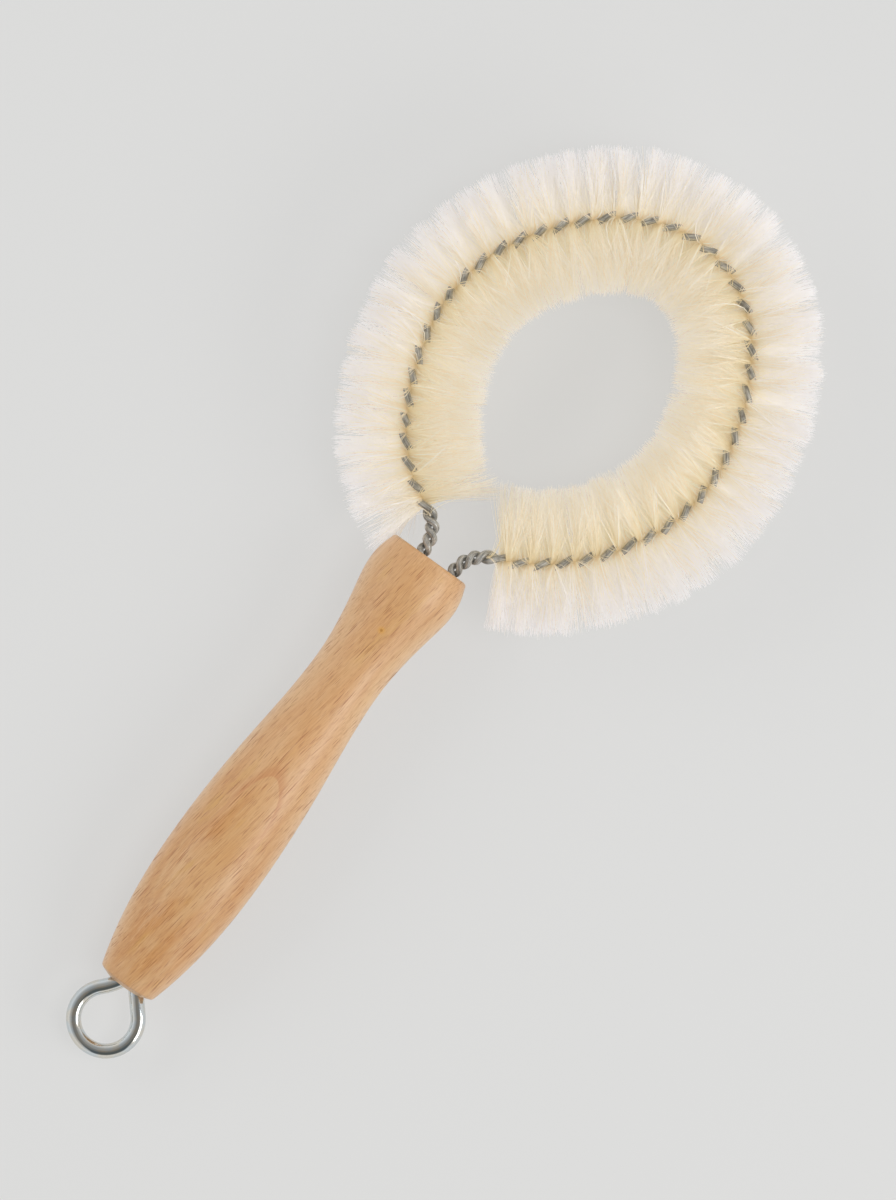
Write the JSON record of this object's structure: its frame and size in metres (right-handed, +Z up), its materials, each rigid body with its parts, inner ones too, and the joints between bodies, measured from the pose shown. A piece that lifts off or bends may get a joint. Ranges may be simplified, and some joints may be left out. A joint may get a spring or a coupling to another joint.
{
  "type": "wine glass brush",
  "caption": "Hand brush for stemmed glasses: turned wooden handle with a screw eye to hang it by, and twisted wires holding natural bristle, bent to an oval loop.",
  "frame": {"origin": "on the surface that the brush lies on, under the centre of its box", "axes": "+X along the handle from the hanging eye to the bristle loop, +Z up from the surface that the brush lies on, on the handle's belly and the bristles nearest to the handle"},
  "size_m": [0.2598, 0.1122, 0.0401],
  "materials": {
    "beech": "plain turned beech, sanded, with fine flecks along the grain",
    "zinc_plate": "bright zinc-plated steel wire",
    "galvanised_wire": "dull galvanised steel wire",
    "bristle": "cream natural bristle, deeper yellow at the roots and whitish at the tips"
  },
  "bodies": {
    "root": {"handle": "beech", "screw_eye": "zinc_plate", "stem_wire_1": "galvanised_wire", "stem_wire_2": "galvanised_wire", "bristle_tuft_01": "bristle", "bristle_tuft_02": "bristle", "bristle_tuft_03": "bristle", "bristle_tuft_04": "bristle", "bristle_tuft_05": "bristle", "bristle_tuft_06": "bristle", "bristle_tuft_07": "bristle", "bristle_tuft_08": "bristle", "bristle_tuft_09": "bristle", "bristle_tuft_10": "bristle", "bristle_tuft_11": "bristle", "bristle_tuft_12": "bristle", "bristle_tuft_13": "bristle", "bristle_tuft_14": "bristle", "bristle_tuft_15": "bristle", "bristle_tuft_16": "bristle", "bristle_tuft_17": "bristle", "bristle_tuft_18": "bristle", "bristle_tuft_19": "bristle", "bristle_tuft_20": "bristle", "bristle_tuft_21": "bristle", "bristle_tuft_22": "bristle"}
  },
  "joints": []
}
